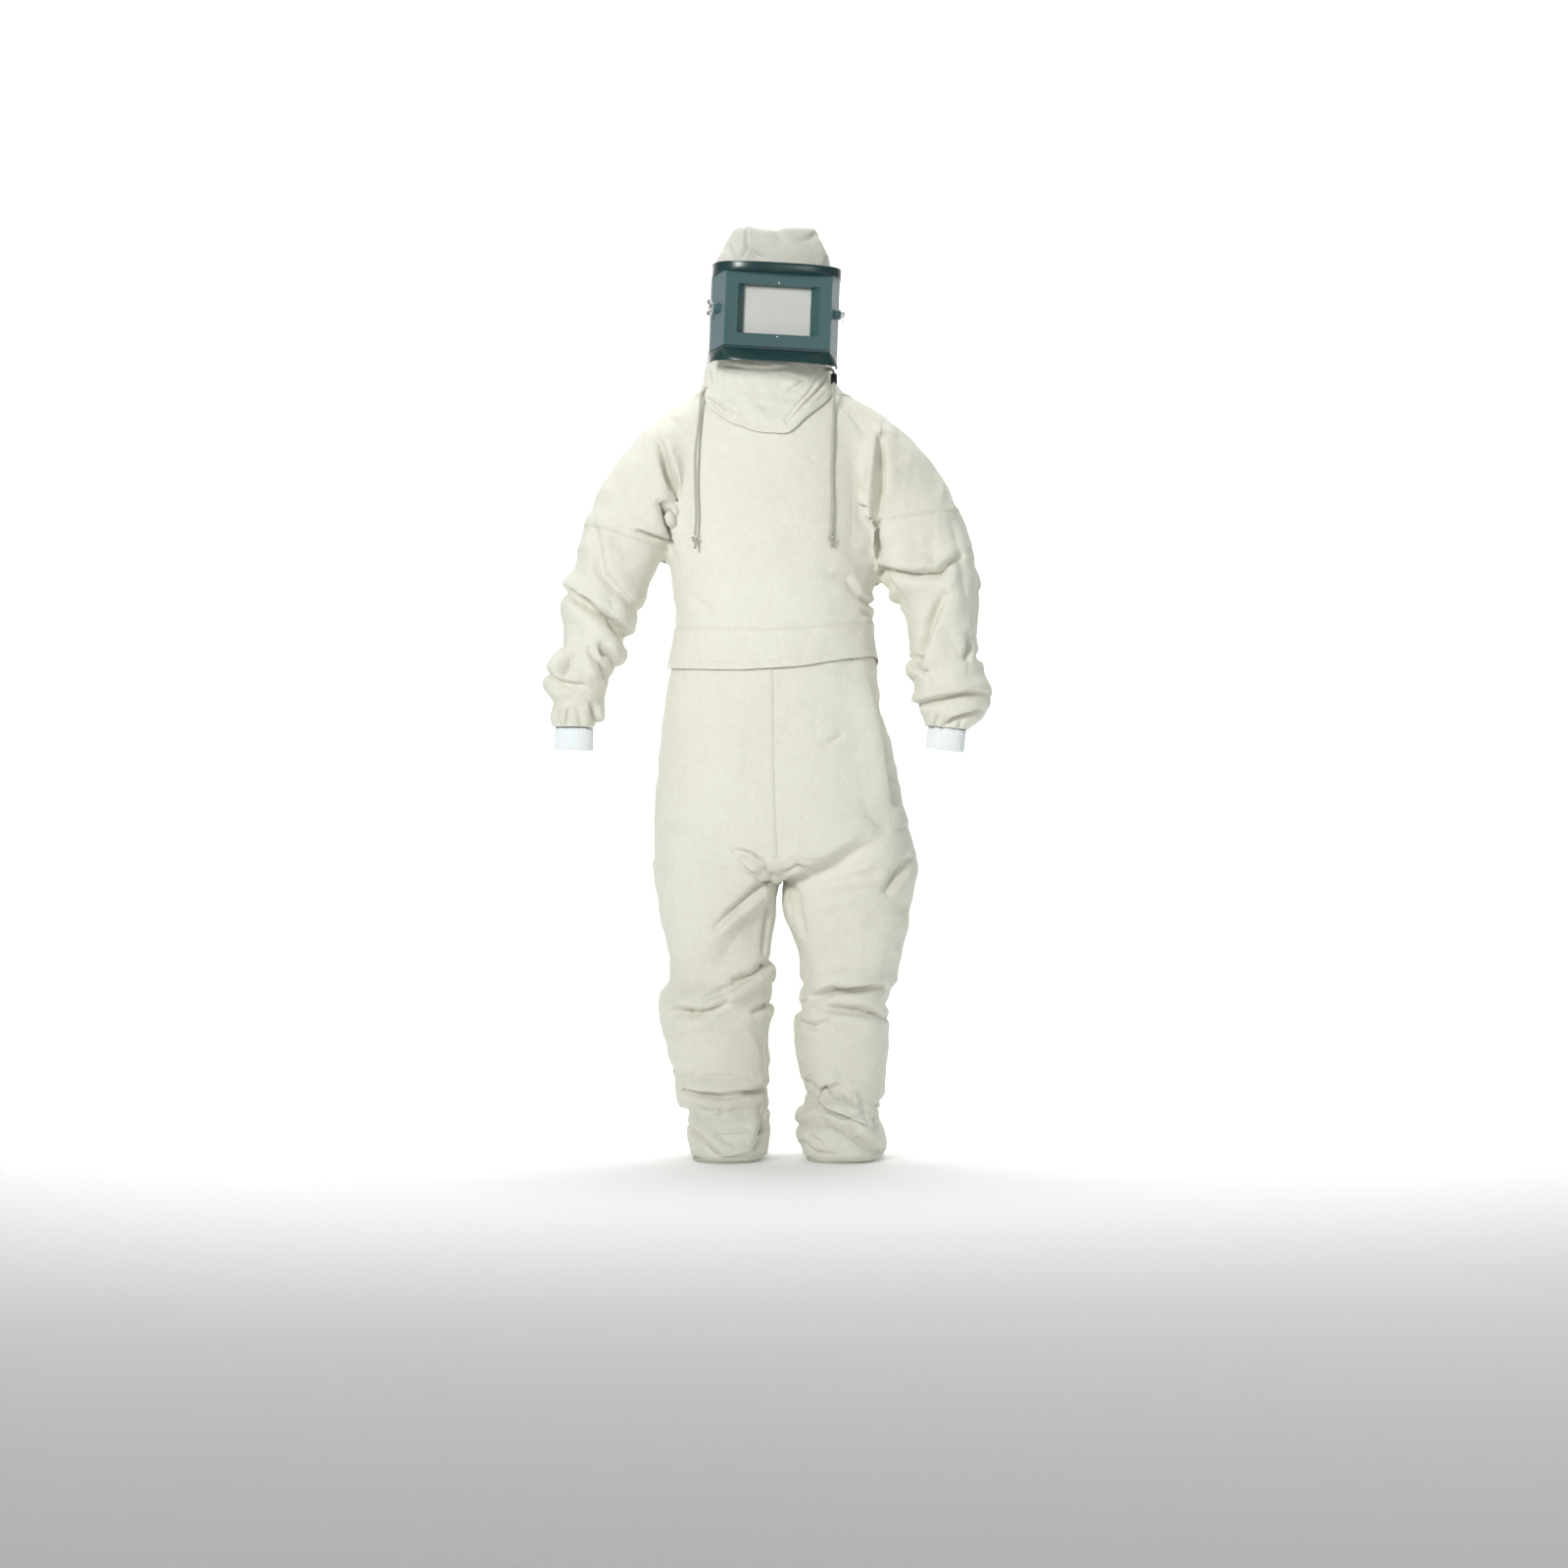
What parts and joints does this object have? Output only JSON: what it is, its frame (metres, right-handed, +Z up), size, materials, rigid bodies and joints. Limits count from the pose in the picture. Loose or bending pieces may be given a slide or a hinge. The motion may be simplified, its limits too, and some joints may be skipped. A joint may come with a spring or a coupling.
{
  "type": "protective suit",
  "caption": "Canvas protective coverall with hood, boot covers, knit cuffs, neck drawstrings and a tilting visor with a rectangular window, standing as worn.",
  "frame": {"origin": "floor point under the middle of the standing suit's bounding box", "axes": "+Z up from the soles to the crown, the suit faces -Y, +X towards its own left hand"},
  "size_m": [0.888, 0.34, 1.8309],
  "materials": {
    "canvas": "heavy plain-weave canvas",
    "knit": "ribbed knit",
    "fastening_tape": "hook and loop tape",
    "sole_cloth": "doubled canvas",
    "black_plastic": "satin",
    "foam": "brushed foam",
    "steel": "zinc plated",
    "bright_steel": "bright plated",
    "visor_plastic": "moulded satin",
    "gasket_rubber": "matte",
    "glass": "clear float glass",
    "cord": "twisted cotton"
  },
  "bodies": {
    "suit": {"bodice_front": "canvas", "bodice_back": "canvas", "sleeve_left_front": "canvas", "sleeve_left_back": "canvas", "sleeve_right_front": "canvas", "sleeve_right_back": "canvas", "cuff_left": "knit", "cuff_right": "knit", "waist_flap": "canvas", "hook_strip": "fastening_tape", "loop_strip": "fastening_tape", "trouser_left_front": "canvas", "trouser_left_back": "canvas", "trouser_right_front": "canvas", "trouser_right_back": "canvas", "fly_facing": "canvas", "boot_cover_left": "canvas", "boot_cover_right": "canvas", "boot_sole_left": "sole_cloth", "boot_sole_right": "sole_cloth", "neck_front": "canvas", "neck_back": "canvas", "bib": "canvas", "hood_crown": "canvas", "hood_side_left": "canvas", "hood_side_right": "canvas", "hood_back": "canvas", "headband": "black_plastic", "crown_strap": "black_plastic", "sweatband": "foam", "pivot_stud_left": "steel", "pivot_stud_right": "steel", "eyelet_left": "steel", "eyelet_right": "steel", "drawstring_left": "cord", "drawstring_right": "cord", "knot_left": "cord", "knot_right": "cord"},
    "visor": {"visor_shell": "visor_plastic", "window_gasket": "gasket_rubber", "window_glass": "glass", "window_frame": "visor_plastic", "frame_screws": "steel", "washers": "steel"},
    "wing_nut_left": {"wing_nut_left": "bright_steel"},
    "wing_nut_right": {"wing_nut_right": "bright_steel"},
    "band_knob": {"band_knob": "black_plastic"},
    "cord_lock": {"cord_lock": "black_plastic"}
  },
  "joints": [
    {"name": "visor_tilt", "type": "hinge", "parent": "suit", "child": "visor", "pos_m": [0.021, -0.11, 1.658], "axis": [-0.9918, -0.1218, 0.0384], "range_deg": [0, 40], "deforming": ["hood_crown"]},
    {"name": "wing_nut_left_spin", "type": "hinge", "parent": "suit", "child": "wing_nut_left", "pos_m": [-0.09802, -0.12461, 1.66261], "axis": [-0.9918, -0.1218, 0.0384], "continuous": true},
    {"name": "wing_nut_right_spin", "type": "hinge", "parent": "suit", "child": "wing_nut_right", "pos_m": [0.14002, -0.09539, 1.65339], "axis": [0.9918, 0.1218, -0.0384], "continuous": true},
    {"name": "band_knob_spin", "type": "hinge", "parent": "suit", "child": "band_knob", "pos_m": [-0.00671, 0.12638, 1.69198], "axis": [-0.1219, 0.9925, 0], "continuous": true},
    {"name": "cord_lock_slide", "type": "slide", "parent": "suit", "child": "cord_lock", "axis": [0, -0.342, -0.9397], "range_m": [0, 0.045]}
  ]
}
